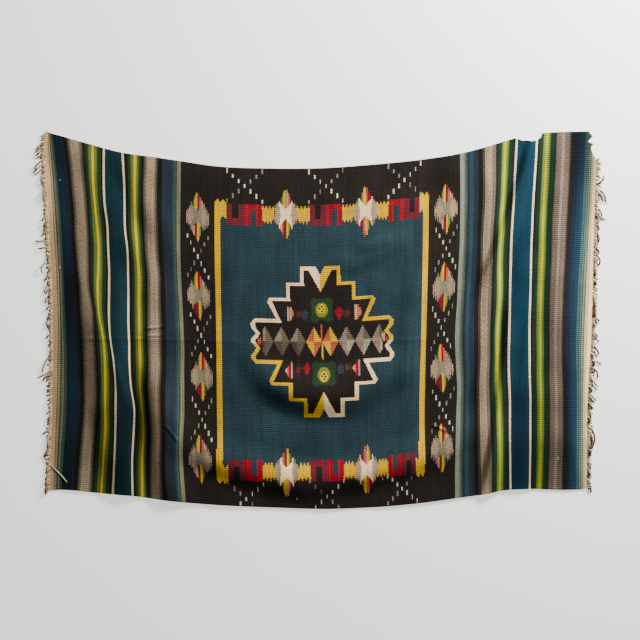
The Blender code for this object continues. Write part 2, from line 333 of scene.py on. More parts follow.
SIDE_INNER_RAYS = (
    (-21, -15, 56, "rose", "red"), (-15, -8, 72, "rose_pale", "red"), (-8, 0, 88, "crimson", "crimson"),
    (0, 7, 90, "bar_gold", "bar_gold"), (7, 12, 74, "lichen", "lichen"), (12, 17, 60, "fern", "fern"),
)
# How far below its tip a ray is at its full width, and on its near side, and where its tip leans to.
RAY_POINT = 15
RAY_SHOULDER = 9
RAY_LEAN = 0.35
# Half a star's body, the yarn of its heart, half the heart's width and how much wider for each step
# outward, the bottoms of its notches and the rise of their sides, and its outer and inner rays.
STAR_KINDS = {
    "strip": (STRIP_STAR_HALF, "bone", (18, 0.12), (23, 12, 1.15), OUTER_RAYS, INNER_RAYS),
    "side": (SIDE_STAR_HALF, "mist", (11, 0.30), (18, 18, 1.2), SIDE_OUTER_RAYS, SIDE_INNER_RAYS),
}

# The stars of the side borders: u, v and the set of their rays.
SIDE_STARS = (
    (-416, 420, 0), (-416, 138, 1), (-411, -152, 1), (-416, -448, 0), (426, 424, 0), (426, 146, 1),
    (425, -141, 1), (427, -425, 0),
)

# Crosses of white dashes on the border: the middle, the steps along u and v from dash to dash, and
# which way the brighter arm runs: 1 where it climbs with u, -1 where it falls.
DASH_CROSSES = (
    (-256, 544, 20, 18, -1), (24, 544, 19.5, 18, -1), (288, 544, 17.5, 18, 1), (-261, -582, 20.5, 18, 1),
    (18, -566, 19.5, 18.5, 1), (282, -551, 17.5, 16.5, -1), (-415, 277, 11.5, 23.5, -1),
    (-412, -5, 11.5, 23.5, -1), (-411, -306, 11.5, 23.5, -1), (428, 283, 11.5, 23.5, -1),
    (423, 3, 11.5, 23.5, -1), (428, -290, 11.5, 23.5, -1),
)
DASHES_PER_ARM = 7
DASH_SIZE = (4.2, 15)

# The medallion: a quarter of its outline, as distances from its middle, from the notch in its top to
# its widest point. The other quarters mirror it.
MEDALLION = (8, -12)
MEDALLION_LEAN = -0.020
OUTLINE_OUTER = (
    (0, 239), (16, 271), (70, 271), (70, 213), (120, 213), (120, 158), (178, 158), (188, 143), (157, 81),
    (233, 81), (248, 62), (246, 50), (229, 27), (246, 6), (246, 0),
)
OUTLINE_INNER = (
    (0, 179), (40, 257), (57, 257), (57, 200), (107, 200), (107, 145), (172, 145), (139, 67), (232, 67),
    (232, 52), (215, 27), (231, 4), (232, 0),
)
# The height at which the outline's yarns change sides.
OUTLINE_TURN = -8
# Lozenges across the medallion, and the yarns of their quarters. On the left the lower quarters take darker
# copies of the upper yarns: painted shade.
LOZENGES = 8
LOZENGE_STEP = 56.5
LOZENGE_HALF = (28, 53.5)
LOZENGE_END = 206
LOZENGE_YARNS = {
    "left": ("lodge_sage", "lodge_taupe", "lodge_taupe_dim", "lodge_sage_dim"),
    "middle": ("clay", "bar_gold", "bar_gold", "clay"),
    "right": ("lodge_sage", "lodge_taupe", "lodge_ash", "lodge_mist"),
}

# The shape of small figures as half their outline, in shares of their half width and half height.
FIGURE_SHAPES = {
    "lozenge": ((0, 1), (0.65, 0.45), (1, 0), (0.6, -0.5), (0, -1)),
    "spade": ((0, 1), (0.5, 0.7), (1, 0.35), (0.85, -0.1), (0.4, -0.6), (0, -1)),
    "shield": ((0, 1), (0.8, 0.7), (1, 0), (0.8, -0.6), (0, -1)),
    "bell": ((0, 1), (0.3, 0.5), (0.8, 0.15), (1, -0.5), (0.6, -1), (0, -1)),
    "spindle": ((0, 1), (0.45, 0.75), (0.25, 0.5), (1, 0.3), (1, -0.3), (0.25, -0.5), (0.4, -0.8), (0, -1)),
}
# Small figures on the medallion: u, v, half width, half height, shape and yarn.
FIGURES = (
    (-77, 87, 6, 15, "lozenge", "fern"), (-69, 88, 7, 12, "shield", "maroon"),
    (-51, 85, 11, 20, "shield", "dusk_blue"), (67.5, 89, 16, 23, "spade", "red"),
    (89, 86, 5.5, 18, "lozenge", "fern"), (99, 87, 7, 20, "spindle", "maroon"),
    (-76, -113, 7, 24, "spindle", "maroon"), (-63, -106, 4, 9, "lozenge", "fern"),
    (-46, -107, 12, 24, "lozenge", "red"), (70.5, -106, 12, 22, "bell", "dusk_blue"),
    (92.5, -106, 7, 13, "shield", "crimson"), (104, -107, 5.5, 22, "spindle", "fern"),
)
# The leaves beside them and the buds at the medallion's ends, in upright strokes: from, to, low, high
# and yarn.
STROKES = (
    (-127, -114, 76, 104, "slate"), (-112, -108.5, 60, 116, "fleck_white"), (-108.5, -103, 59, 114, "clay"),
    (-103, -97.5, 63, 117, "rose_pale"), (-97.5, -93, 70, 109, "rose"), (-93, -89.5, 79, 97, "rose"),
    (112, 119.5, 80, 103, "slate"), (119.5, 124.5, 62, 117, "rose_pale"),
    (124.5, 129.5, 60, 121, "rose_pale"), (129.5, 133, 64, 104, "clay"), (130.5, 136, 66, 119, "rose"),
    (136, 140.5, 70, 110, "rose"), (140.5, 144, 78, 97, "rose"), (-120, -114, -126, -104, "rose_pale"),
    (-114, -108.5, -138, -98, "rose"), (-108.5, -101, -146, -90, "red"),
    (-101, -97.5, -146, -84, "rose_pale"), (-97.5, -93.5, -145, -86, "fleck_grey"),
    (-92, -85, -134, -104, "slate"), (113, 118, -121, -98, "rose_pale"), (118, 123.5, -130, -92, "rose"),
    (123.5, 131.5, -140, -82, "red"), (131.5, 135, -140, -78, "rose_pale"),
    (135, 139, -140, -81, "fleck_grey"), (139.5, 147, -127, -98, "slate"), (-220, -215, -20, -4, "crimson"),
    (-215, -209, -26, 3, "rose"), (-209, -203, -24, 5, "clay"), (-203, -197, -20, -4, "crimson"),
    (214, 219, -16, 16, "rose_pale"), (219, 224, -26, 14, "rose_pale"), (224, 229, -30, 6, "crimson"),
    (229, 233, -22, -6, "rose"), (2.5, 7.5, -12, 55, "clay"), (7, 11.5, -78, -12, "bar_gold"),
)
STROKE_POINT = 9

# The two flowers: the middle and half size of the green block, and how far its heart and eye are
# above its middle.
#    u v half_u half_v heart eye
FLOWERS = ((7, 102, 39, 44, 0, 4), (13, -126, 42, 45, -3, -10))
FLOWER_LOBE = 15
FLOWER_WAIST = 3
HEART_HALF = (21.5, 27)
EYE_HALF = (12, 18)
EYE_DOTS = ((-6, 1), (6, 0), (0, 9), (1, -10))
EYE_DOT = 3.6

# Odd white fibres caught in the weave: u, v, half length along v.
FIBRE_HALF = 1.2
STRAY_FIBRES = (
    (-881, 453, 2), (-66, -377, 4), (830, -502, 5), (-84, -575, 3), (640, 330, 3), (-905, 150, 3),
    (212, -510, 3),
)

# --- The web as it lies ---
# Faces of the top across the web and along a piece of it, and how many of them one below spans.
ROWS = 354
COLUMNS = 240
COARSER = 3
# The three pieces, in metres: name, and where each starts and ends.
PIECES = (("cloth_left", -0.940, -0.345), ("cloth_field", -0.345, 0.345), ("cloth_right", 0.345, 0.940))
NORMAL_STEP = 0.001
# How far inside the web's edges the yarn of its rim is read.
EDGE_INSIDE = 0.0005


def eased(share):
    """0 to 1 with a level start and end, for a share that may run past either."""
    share = np.clip(share, 0.0, 1.0)
    return share * share * (3.0 - 2.0 * share)


def through_rows(knots, values, at):
    """The smooth curve through a table's values, or through several columns of them at once."""
    slopes = np.gradient(values, knots, axis=0)
    index = np.clip(np.searchsorted(knots, at) - 1, 0, len(knots) - 2)
    span = knots[index + 1] - knots[index]
    t = (at - knots[index]) / span
    if values.ndim > 1:
        t, span = t[:, None], span[:, None]
    start = (2 * t**3 - 3 * t**2 + 1) * values[index] + (t**3 - 2 * t**2 + t) * span * slopes[index]
    end = (3 * t**2 - 2 * t**3) * values[index + 1] + (t**3 - t**2) * span * slopes[index + 1]
    return start + end


def laid_plan(u, v):
    """Where the points of a flat grid lie on the floor: x and y, a row for each u."""
    table = MM * np.array(SECTIONS)
    columns = through_rows(table[:, 0], table[:, 1:], u)
    share = v / WIDTH + 0.5
    x = through_rows(np.linspace(0.0, 1.0, 5), columns[:, :5].T, share).T
    bottom, top = columns[:, 5:6], columns[:, 6:7]
    return x, bottom + (top - bottom) * share


def wavered(u, v):
    """How far the wefts lie from straight lines over a flat grid, along x."""
    from_end = (LENGTH / 2 - np.abs(u)) / MM
    away = []
    for knots, table in ((LEFT_WAVER_KNOTS, LEFT_WAVER), (RIGHT_WAVER_KNOTS, RIGHT_WAVER)):
        table = np.array(table, float)
        rows = through_rows(table[:, 0], table[:, 1:], v / MM)
        away.append(through_rows(np.array(knots), rows.T, np.clip(from_end, 0.0, knots[-1])))
    return MM * np.where(u[:, None] < 0, away[0], -away[1])


def crest_lift(row, x, y):
    """How far one fold or crease lifts the web at places on the floor."""
    x_from, y_from, x_to, y_to, bow, height, left, right = row
    run_x, run_y = x_to - x_from, y_to - y_from
    run = math.hypot(run_x, run_y)
    share = ((x - x_from) * run_x + (y - y_from) * run_y) / run**2
    side = ((y - y_from) * run_x - (x - x_from) * run_y) / run - 4 * bow * share * (1 - share)
    reach = np.where(side > 0, left, right)
    fade = eased(share / FOLD_FADE) * eased((1 - share) / FOLD_FADE)
    return height * fade * np.cos(0.5 * math.pi * np.clip(side / reach, -1.0, 1.0)) ** 2


def laid_surface(u, v):
    """The underside of the laid web over a flat grid, as an array of points."""
    x, y = laid_plan(u, v)
    x = x + wavered(u, v)
    z = sum(crest_lift(row, x, y) for row in MM * np.array(FOLDS + CREASES))
    for along_x, along_y, shift, height in WAVES:
        z = z + height * (1.0 + np.sin(2 * math.pi * (x / along_x + y / along_y) + shift))
    z = z * eased((LENGTH / 2 - np.abs(u) - EDGE_REST) / EDGE_RISE)[:, None]
    return np.stack([x - MIDDLE[0], y - MIDDLE[1], np.maximum(z, 0.0)], axis=-1)


def surface_normals(u, v):
    """The upward normals of the laid web over a flat grid."""
    along = laid_surface(u + NORMAL_STEP, v) - laid_surface(u - NORMAL_STEP, v)
    across = laid_surface(u, v + NORMAL_STEP) - laid_surface(u, v - NORMAL_STEP)
    normals = np.cross(along, across)
    return normals / np.linalg.norm(normals, axis=-1, keepdims=True)


# --- The weave chart ---
class Chart:
    """Points of the flat web, in millimetres, and the yarn that each is woven with."""

    def __init__(self, u, v, yarn):
        self.u = u
        self.v = v
        self.yarn = yarn

    def paint(self, where, yarn):
        self.yarn[where] = YARN_NAMES.index(yarn)

    def moved(self, u, v):
        """The same points and yarns, seen from a motif's middle."""
        return Chart(self.u - u, self.v - v, self.yarn)

    def rectangle(self, from_u, to_u, low_v, high_v, yarn):
        inside_u = (self.u >= min(from_u, to_u)) & (self.u < max(from_u, to_u))
        self.paint(inside_u & (self.v >= low_v) & (self.v < high_v), yarn)

    def polygon(self, points, yarn):
        self.paint(self.within(points), yarn)

    def within(self, points):
        """Which points lie inside an outline, by the even-odd rule."""
        points = np.array(points, float)
        (low_u, low_v), (high_u, high_v) = points.min(axis=0), points.max(axis=0)
        near_u = (self.u >= low_u) & (self.u <= high_u)
        near = np.flatnonzero(near_u & (self.v >= low_v) & (self.v <= high_v))
        u, v = self.u[near], self.v[near]
        inside = np.zeros(len(near), bool)
        for (u0, v0), (u1, v1) in zip(points, np.roll(points, -1, axis=0), strict=True):
            if v0 != v1:
                crosses = (v0 > v) != (v1 > v)
                inside ^= crosses & (u < u0 + (u1 - u0) * (v - v0) / (v1 - v0))
        return near[inside]


def mirrored(half):
    """A whole outline from its right half."""
    return list(half) + [(-u, v) for u, v in reversed(half)]


def paint_stripes(chart):
    for stripes, side in ((LEFT_STRIPES, -1), (RIGHT_STRIPES, 1)):
        from_end = LENGTH / 2 / MM - side * chart.u
        for reach, yarn in reversed(stripes):
            chart.paint(from_end < reach, yarn)


def paint_key(chart, u_from, u_to, crimson_side):
    """A pair of hooks: a crimson one open to the border, a red one open to the field."""
    middle = (u_from + u_to) / 2
    ends = (u_from, u_to) if crimson_side == "left" else (u_to, u_from)
    to_border = (STRIP_HALF - KEY_NOTCH_DEPTH, STRIP_HALF, "border_black")
    to_field = (-STRIP_HALF, KEY_NOTCH_DEPTH - STRIP_HALF, "field_teal")
    hooks = (("crimson", "plum", to_border), ("red", "scarlet", to_field))
    for outer, (yarn, streak, opening) in zip(ends, hooks, strict=True):
        third = (middle - outer) / 3
        chart.rectangle(outer, middle, -STRIP_HALF, STRIP_HALF, yarn)
        for start, end in KEY_STREAKS:
            chart.rectangle(outer + start * third, outer + end * third, -STRIP_HALF, STRIP_HALF, streak)
        chart.rectangle(outer + third, middle - third, *opening)


def paint_comb(chart, key_side, star_side):
    """A yellow block with teeth on both edges, its inner edge cut away beside the star."""
    run = star_side - key_side
    low, high = COMB_BODY
    cut, cut_height = COMB_CUT
    body = [(key_side, low), (key_side, high), (star_side, high), (star_side, low + cut_height)]
    chart.polygon(body + [(key_side + cut * run, low)], "comb_gold")
    for shares, base, way in ((COMB_OUTER_TEETH, high, 1), (COMB_INNER_TEETH, low, -1)):
        foot, tip = base - way * TOOTH_ROOT, base + way * TOOTH_HEIGHT
        for share in shares:
            middle = key_side + share * run
            tooth = [(middle - TOOTH_HALF, foot), (middle, tip), (middle + TOOTH_HALF, foot)]
            chart.polygon(tooth, "comb_gold")


def paint_star(chart, kind, yarn_set):
    """A star: its body with a paler heart, and in its notches columns of yarn that rise to sharp tips."""
    half, yarn, (heart, widening), (outer, inner, rise), outer_rays, inner_rays = STAR_KINDS[kind]
    inside = chart.within(mirrored(half))
    chart.paint(inside, "ash_pink")
    in_heart = np.abs(chart.u[inside]) < heart + widening * np.abs(chart.v[inside])
    chart.paint(inside[in_heart], yarn)
    for rays, way, depth in ((outer_rays, 1, outer), (inner_rays, -1, inner)):
        for low, high, tip, *yarns in rays:
            near, far = sorted((low, high), key=abs)
            column = (
                (near, depth + rise * abs(near)), (near, tip - RAY_SHOULDER),
                (near + RAY_LEAN * (far - near), tip), (far, tip - RAY_POINT), (far, depth + rise * abs(far)),
            )
            chart.polygon([(u, way * v) for u, v in column], yarns[yarn_set])


def paint_field(chart):
    """The border, the teal field, its side bars and the strips across its top and bottom."""
    end = LENGTH / 2 / MM
    chart.rectangle(LEFT_STRIPES[-1][0] - end, end - RIGHT_STRIPES[-1][0], -end, end, "border_black")
    top, bottom = STRIPS[0][0], STRIPS[1][0]
    sides = (BARS[0][0], BARS[1][0])
    chart.rectangle(*sides, bottom, top, "field_teal")
    for bar_inner, bar_outer, _ in BARS:
        chart.rectangle(bar_inner, bar_outer, bottom, top, "bar_gold")
    for middle, outward, shift, climb in STRIPS:
        u = chart.u - shift
        strip = Chart(u, (chart.v - middle - climb * u) * outward, chart.yarn)
        strip.rectangle(*sides, 0.0, STRIP_HALF, "border_black")
        strip.rectangle(*sides, -STRIP_HALF, 0.0, "field_teal")
        for key in KEYS:
            paint_key(strip, *key)
        for comb in COMBS:
            paint_comb(strip, *comb)
        for star_u, yarn_set in STRIP_STARS:
            paint_star(strip.moved(star_u, 0.0), "strip", yarn_set)
        for bar in BARS:
            paint_corner(strip, *bar)


def paint_corner(chart, bar_inner, bar_outer, block_end):
    """The end of a side bar: a block as wide as the bar and its foot, with two peaks outward."""
    run = block_end - bar_outer
    notch_share, low, notch = CORNER_NOTCH
    foot = -STRIP_HALF * 2
    peaks = [(bar_outer + share * run, v) for share, v in CORNER_PEAKS]
    notched = [(block_end, low), (block_end - notch_share * run, notch), (bar_inner, low)]
    chart.polygon([(bar_outer, foot), *peaks, *notched, (bar_inner, foot)], "bar_gold")


def paint_crosses(chart):
    """Crosses of white dashes, one arm brighter than the other."""
    half_u, half_v = DASH_SIZE[0] / 2, DASH_SIZE[1] / 2
    reach = DASHES_PER_ARM // 2
    for middle_u, middle_v, step_u, step_v, bright in DASH_CROSSES:
        for way in (-bright, bright):
            for step in range(-reach, reach + 1):
                u = middle_u + step * step_u
                v = middle_v + way * step * step_v
                yarn = "fleck_white" if way == bright or step == 0 else "fleck_grey"
                chart.rectangle(u - half_u, u + half_u, v - half_v, v + half_v, yarn)


def paint_lozenges(chart):
    """A row of lozenges quartered in the yarns of their part of the row, the middle two brighter."""
    half_u, half_v = LOZENGE_HALF
    for number in range(LOZENGES):
        middle = (number + 0.5 - LOZENGES / 2) * LOZENGE_STEP
        part = "middle" if abs(middle) < LOZENGE_STEP else "left" if middle < 0 else "right"
        upper = [(middle - half_u, 0), (middle, half_v), (middle + half_u, 0)]
        inside = chart.within(upper + [(middle, -half_v)])
        inside = inside[np.abs(chart.u[inside]) < LOZENGE_END]
        quarter = (chart.u[inside] > middle) + 2 * (chart.v[inside] < 0)
        for number_of_quarter, yarn in enumerate(LOZENGE_YARNS[part]):
            chart.paint(inside[quarter == number_of_quarter], yarn)


def paint_flower(chart, half_u, half_v, heart_v, eye_v):
    """A green block with a lobe at each corner, a pale heart, and a yellow eye with dark dots."""
    across, along = np.abs(chart.u), np.abs(chart.v)
    lobe = np.hypot(across - half_u + FLOWER_LOBE, along - half_v + FLOWER_LOBE) < FLOWER_LOBE
    block = (across < half_u - FLOWER_WAIST) & (along < half_v - 2 * FLOWER_WAIST)
    inner = (across < half_u - FLOWER_LOBE) | (along < half_v - FLOWER_LOBE)
    chart.paint(lobe | (block & inner), "fern")
    for (oval_u, oval_v), middle_v, yarn in ((HEART_HALF, heart_v, "lichen"), (EYE_HALF, eye_v, "yolk")):
        chart.paint((chart.u / oval_u) ** 2 + ((chart.v - middle_v) / oval_v) ** 2 < 1.0, yarn)
    for dot_u, dot_v in EYE_DOTS:
        chart.paint(np.hypot(chart.u - dot_u, chart.v - eye_v - dot_v) < EYE_DOT, "border_black")


def paint_medallion(chart):
    """The stepped medallion, outlined in cream and yellow, with what lies on it."""
    v = chart.v - MEDALLION[1]
    local = Chart(chart.u - MEDALLION[0] - MEDALLION_LEAN * v, v, chart.yarn)
    for quarter, yarns in ((OUTLINE_OUTER, ("bone", "bar_gold")), (OUTLINE_INNER, ("border_black",) * 2)):
        inside = local.within(mirrored(quarter + tuple((u, -v) for u, v in reversed(quarter))))
        cream = (local.u[inside] < 0) == (local.v[inside] > OUTLINE_TURN)
        chart.paint(inside[cream], yarns[0])
        chart.paint(inside[~cream], yarns[1])
    paint_lozenges(local)
    for middle_u, middle_v, half_u, half_v, shape, yarn in FIGURES:
        half = [(su * half_u, sv * half_v) for su, sv in FIGURE_SHAPES[shape]]
        chart.moved(middle_u, middle_v).polygon(mirrored(half), yarn)
    for middle_u, middle_v, *sizes in FLOWERS:
        paint_flower(chart.moved(middle_u, middle_v), *sizes)
    for low_u, high_u, low, high, yarn in STROKES:
        middle = (low_u + high_u) / 2
        left = [(low_u, low + STROKE_POINT), (low_u, high - STROKE_POINT), (middle, high)]
        right = [(high_u, high - STROKE_POINT), (high_u, low + STROKE_POINT), (middle, low)]
        chart.polygon(left + right, yarn)


def woven(u, v):
    """The yarn of each point of the flat web."""
    chart = Chart(u, v, np.zeros(u.shape, np.int32))
    paint_stripes(chart)
    paint_field(chart)
    paint_crosses(chart)
    paint_medallion(chart)
    for star_u, star_v, yarn_set in SIDE_STARS:
        paint_star(chart.moved(star_u, star_v), "side", yarn_set)
    for fibre_u, fibre_v, half_v in STRAY_FIBRES:
        fibre = chart.moved(fibre_u, fibre_v)
        fibre.rectangle(-FIBRE_HALF, FIBRE_HALF, -half_v, half_v, "fleck_white")
    return chart.yarn


def painted_light_factor(u, v):
    """The factor of painted light and shade on the web's colour at places in it."""
    stops = 0.0
    for middle_u, middle_v, reach_u, reach_v, change in PAINTED_LIGHT_AND_SHADE:
        away = np.hypot((u - middle_u) / reach_u, (v - middle_v) / reach_v)
        stops = stops + change * eased(1.0 - away)
    return 2.0**stops


def linear(colour):
    """An sRGB colour of 0 to 255 as linear light."""
    share = np.array(colour) / 255.0
    return np.where(share <= 0.04045, share / 12.92, ((share + 0.055) / 1.055) ** 2.4)


# --- Node materials ---
class Nodes:
    """Small helper to lay a material's node tree."""

    def __init__(self, name):
        self.material = bpy.data.materials.new(name)
        self.material.use_nodes = True
        self.tree = self.material.node_tree
        self.shader = self.tree.nodes["Principled BSDF"]

    def feed(self, node, inputs):
        """Sets or links a node's inputs, given by name or number."""
        for key, value in inputs.items():
            if isinstance(value, bpy.types.NodeSocket):
                self.tree.links.new(value, node.inputs[key])
            else:
                node.inputs[key].default_value = value

    def add(self, kind, inputs, **settings):
        node = self.tree.nodes.new(kind)
        for key, value in settings.items():
            setattr(node, key, value)
        self.feed(node, inputs)
        return node.outputs

    def attribute(self, name):
        return self.add("ShaderNodeAttribute", {}, attribute_name=name)

    def maths(self, operation, first, second=0.0):
        return self.add("ShaderNodeMath", {0: first, 1: second}, operation=operation)[0]

    def times(self, first, second):
        return self.maths("MULTIPLY", first, second)

    def plus(self, first, second):
        return self.maths("ADD", first, second)

    def noise(self, place, scale, detail=2.0, roughness=0.5):
        """A noise between 0 and 1 over a place stretched by a scale for each axis."""
        stretched = self.add("ShaderNodeVectorMath", {0: place, 1: scale}, operation="MULTIPLY")[0]
        inputs = {"Vector": stretched, "Scale": 1.0, "Detail": detail, "Roughness": roughness}
        return self.add("ShaderNodeTexNoise", inputs)["Fac"]

    def varied(self, factor, low, high):
        """A noise spread to run from low to high."""
        inputs = {"Value": factor, "From Min": 0.25, "From Max": 0.75, "To Min": low, "To Max": high}
        return self.add("ShaderNodeMapRange", inputs)[0]

    def scaled_colour(self, colour, factor):
        return self.add("ShaderNodeVectorMath", {0: colour, "Scale": factor}, operation="SCALE")[0]

    def bump(self, height, distance, strength):
        inputs = {"Height": height, "Distance": distance, "Strength": strength}
        return self.add("ShaderNodeBump", inputs)["Normal"]


WARP_PITCH = 2 * WIDTH / ROWS
WEFT_PITCH = 0.0013
# Noises of the weave: scale along u and v, detail, roughness, how far each shades the yarn either way,
# and its part in the relief.
#             along_u along_v detail rough shade relief
WEAVE_NOISES = {
    "weft": (760.0, 9.0, 2.0, 0.5, 0.14, 0.35),
    "strand": (260.0, 5.0, 2.0, 0.5, 0.22, 0.0),
    "batch": (60.0, 0.8, 3.0, 0.5, 0.12, 0.0),
    "mottle": (16.0, 11.0, 4.0, 0.6, 0.16, 0.0),
    "grain": (240.0, 150.0, 2.0, 0.6, 0.20, 0.50),
    "nap": (1300.0, 1300.0, 3.0, 0.7, 0.14, 0.40),
}
CARDED_FIBRE = (430.0, 170.0, 1.0)
CARDED_SPREAD = 0.6
BEAD_RELIEF = 0.25
# Painted shade in the hollows between ribs: how dark the hollows are, how much darker the deep ones, and the
# mean height of a rib.
RIB_SHADE = (0.40, 0.70, 0.66)
# Distance and strength of the relief of the weave and of the fringe.
WEAVE_BUMP = (0.0009, 0.42)
FRINGE_BUMP = (0.0005, 0.5)
# Scales of the fringe's patches of tone and of its fibres.
FRINGE_PATCH = (150.0, 150.0, 150.0)
FRINGE_FIBRE = (900.0, 900.0, 900.0)


def tapestry_wool():
    """Packed wefts over hidden warps: soft ribs along u, painted lighter on their crowns and darker in their
    hollows, a fine bead where each weft crosses a warp, streaks where one weft differs from the next, carded
    flecks, and a dull nap."""
    nodes = Nodes("tapestry_wool")
    place = nodes.attribute("flat")["Vector"]
    flat = nodes.add("ShaderNodeSeparateXYZ", {"Vector": place})
    rib_turn = nodes.times(flat["Y"], math.pi / WARP_PITCH)
    weft_turn = nodes.times(flat["X"], math.pi / WEFT_PITCH)
    rib = nodes.maths("ABSOLUTE", nodes.maths("SINE", rib_turn))
    bead = nodes.times(nodes.maths("SINE", weft_turn), nodes.maths("COSINE", rib_turn))

    # Painted light and shade: the yarn is darker in the hollows between ribs, darker still for deep ribs, and
    # lighter on their crowns.
    hollow, deeper, mean_rib = RIB_SHADE
    depth = nodes.plus(nodes.times(nodes.attribute("deep")["Fac"], deeper), hollow)
    shade = nodes.plus(nodes.times(nodes.maths("SUBTRACT", rib, mean_rib), depth), 1.0)
    height = nodes.plus(rib, nodes.times(bead, BEAD_RELIEF))
    noises = {}
    for name, (along_u, along_v, detail, roughness, spread, relief) in WEAVE_NOISES.items():
        noises[name] = nodes.noise(place, (along_u, along_v, 1.0), detail, roughness)
        shade = nodes.times(shade, nodes.varied(noises[name], 1.0 - spread, 1.0 + spread))
        if relief:
            height = nodes.plus(height, nodes.times(noises[name], relief))
    fibre = nodes.varied(nodes.noise(place, CARDED_FIBRE), -CARDED_SPREAD, CARDED_SPREAD)
    shade = nodes.times(shade, nodes.plus(nodes.times(fibre, nodes.attribute("carded")["Fac"]), 1.0))
    nodes.feed(nodes.shader, {
        "Base Color": nodes.scaled_colour(nodes.attribute("yarn")["Color"], shade),
        "Normal": nodes.bump(height, *WEAVE_BUMP),
        "Roughness": nodes.varied(noises["nap"], 0.84, 0.98),
        "Specular IOR Level": 0.05,
        "Sheen Weight": 0.03,
        "Sheen Roughness": 0.5,
    })
    return nodes.material


def fringe_wool(name, light, dark):
    """Undyed plied yarn, from a light to a dark tone, with a little fuzz, its colour darker where the fuzz
    lies low.
    """
    nodes = Nodes(name)
    place = nodes.add("ShaderNodeTexCoord", {})["Object"]
    patch = nodes.noise(place, FRINGE_PATCH)
    fibre = nodes.noise(place, FRINGE_FIBRE, detail=3.0, roughness=0.7)
    tones = {
        "Factor": nodes.plus(nodes.attribute("tone")["Fac"], nodes.varied(patch, -0.35, 0.35)),
        "A": (*linear(dark), 1.0),
        "B": (*linear(light), 1.0),
    }
    tone = nodes.add("ShaderNodeMix", tones, data_type="RGBA")["Result"]
    nodes.feed(nodes.shader, {
        "Base Color": nodes.scaled_colour(tone, nodes.varied(fibre, 0.82, 1.14)),
        "Normal": nodes.bump(fibre, *FRINGE_BUMP),
        "Roughness": 0.9,
        "Specular IOR Level": 0.15,
        "Sheen Weight": 0.12,
    })
    return nodes.material


# --- The web's meshes ---
def grid_lines(start, end, count, kept):
    """Even lines, the nearest of which are moved onto the values to keep."""
    lines = np.linspace(start, end, count + 1)
    for value in kept:
        number = round((value - start) / (end - start) * count)
        if 0 < number < count:
            lines[number] = value
    return lines


def grid_quads(ids):
    """The faces of a grid of points, turned upward."""
    return np.stack([ids[:-1, :-1], ids[1:, :-1], ids[1:, 1:], ids[:-1, 1:]], axis=-1).reshape(-1, 4)


def rim_faces(top, low):
    """Faces that join one edge of the top to the same edge of the coarser underside."""
    faces = []
    for number in range(len(low) - 1):
        upper = top[number * COARSER : (number + 1) * COARSER + 1]
        faces.append([low[number], low[number + 1], *upper[::-1]])
    return faces


def bitten(table, at, reach):
    """How far in the web stops at places along an edge: the most within a reach to either side."""
    table = MM * np.array(table)
    steps = (-reach, -reach / 2, 0.0, reach / 2, reach)
    return np.max([np.interp(at + step, table[:, 0], table[:, 1]) for step in steps], axis=0)


def drawn_in(u, v, reach):
    """The place in the flat web of each point of a grid, clear of the worn edges."""
    at_end = np.clip((u - BITE_FROM[0]) / (LENGTH / 2 - BITE_FROM[0]), 0.0, 1.0)
    at_side = np.clip((v - BITE_FROM[1]) / (WIDTH / 2 - BITE_FROM[1]), 0.0, 1.0)
    place_u = u[:, None] - at_end[:, None] * bitten(CORNER_BITE, v, reach)
    place_v = v - at_side * bitten(SIDE_BITE, u, reach)[:, None]
    return np.stack([place_u, place_v], axis=-1)


def at_places(u, v, places, values):
    """Values over a grid, read again at the places of its points."""
    read = np.empty_like(values)
    for part in range(values.shape[2]):
        for row in range(len(v)):
            read[:, row, part] = np.interp(places[:, row, 0], u, values[:, row, part])
        for column in range(len(u)):
            read[column, :, part] = np.interp(places[column, :, 1], v, read[column, :, part])
    return read.reshape(-1, values.shape[2])


def laid_side(u, v, reach):
    """The points of one side of the web, their upward normals and their places in the flat web."""
    places = drawn_in(u, v, reach)
    points = at_places(u, v, places, laid_surface(u, v))
    normals = at_places(u, v, places, surface_normals(u, v))
    return points, normals, places.reshape(-1, 2)


def add_web_piece(name, start, end, material):
    """One closed length of the web: a fine top, a coarser underside and the edge between them."""
    half = LENGTH / 2
    kept = [reach * MM - half for reach, _ in LEFT_STRIPES]
    kept += [half - reach * MM for reach, _ in RIGHT_STRIPES]
    kept += sorted(edge * MM for bar in BARS for edge in bar)
    u = grid_lines(start, end, COLUMNS, kept)
    v = np.linspace(-WIDTH / 2, WIDTH / 2, ROWS + 1)
    top, top_normals, top_flat = laid_side(u, v, 0.0)
    low, low_normals, low_flat = laid_side(u[::COARSER], v[::COARSER], BITE_UNDER)
    points = np.concatenate([top + (0.0, 0.0, WALL), low])
    flat = np.concatenate([top_flat, low_flat])

    top_ids = np.arange(len(top)).reshape(len(u), -1)
    low_ids = len(top) + np.arange(len(low)).reshape(len(u[::COARSER]), -1)
    quads = np.concatenate([grid_quads(top_ids), grid_quads(low_ids)[:, ::-1]])
    edges = (np.s_[:, 0], np.s_[::-1, -1], np.s_[0, ::-1], np.s_[-1, :])
    rims = [face for edge in edges for face in rim_faces(top_ids[edge].tolist(), low_ids[edge].tolist())]
    mesh = bpy.data.meshes.new(name)
    mesh.from_pydata(points.tolist(), [], quads.tolist() + rims)
    mesh.shade_smooth()

    middles = np.concatenate([flat[quads].mean(axis=1), [flat[face].mean(axis=0) for face in rims]])
    sizes = np.array([4] * len(quads) + [len(face) for face in rims])
    paint_piece(mesh, middles, sizes, flat)
    # Normals from the laid surface itself, so that no line shows where two pieces meet.
    normals = np.concatenate([top_normals, -low_normals])[quads.ravel()]
    mesh.normals_split_custom_set(np.concatenate([normals, np.zeros((sum(map(len, rims)), 3))]).tolist())
    piece = add_piece(name, mesh, material)
    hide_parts("serape_cloth")
    return piece


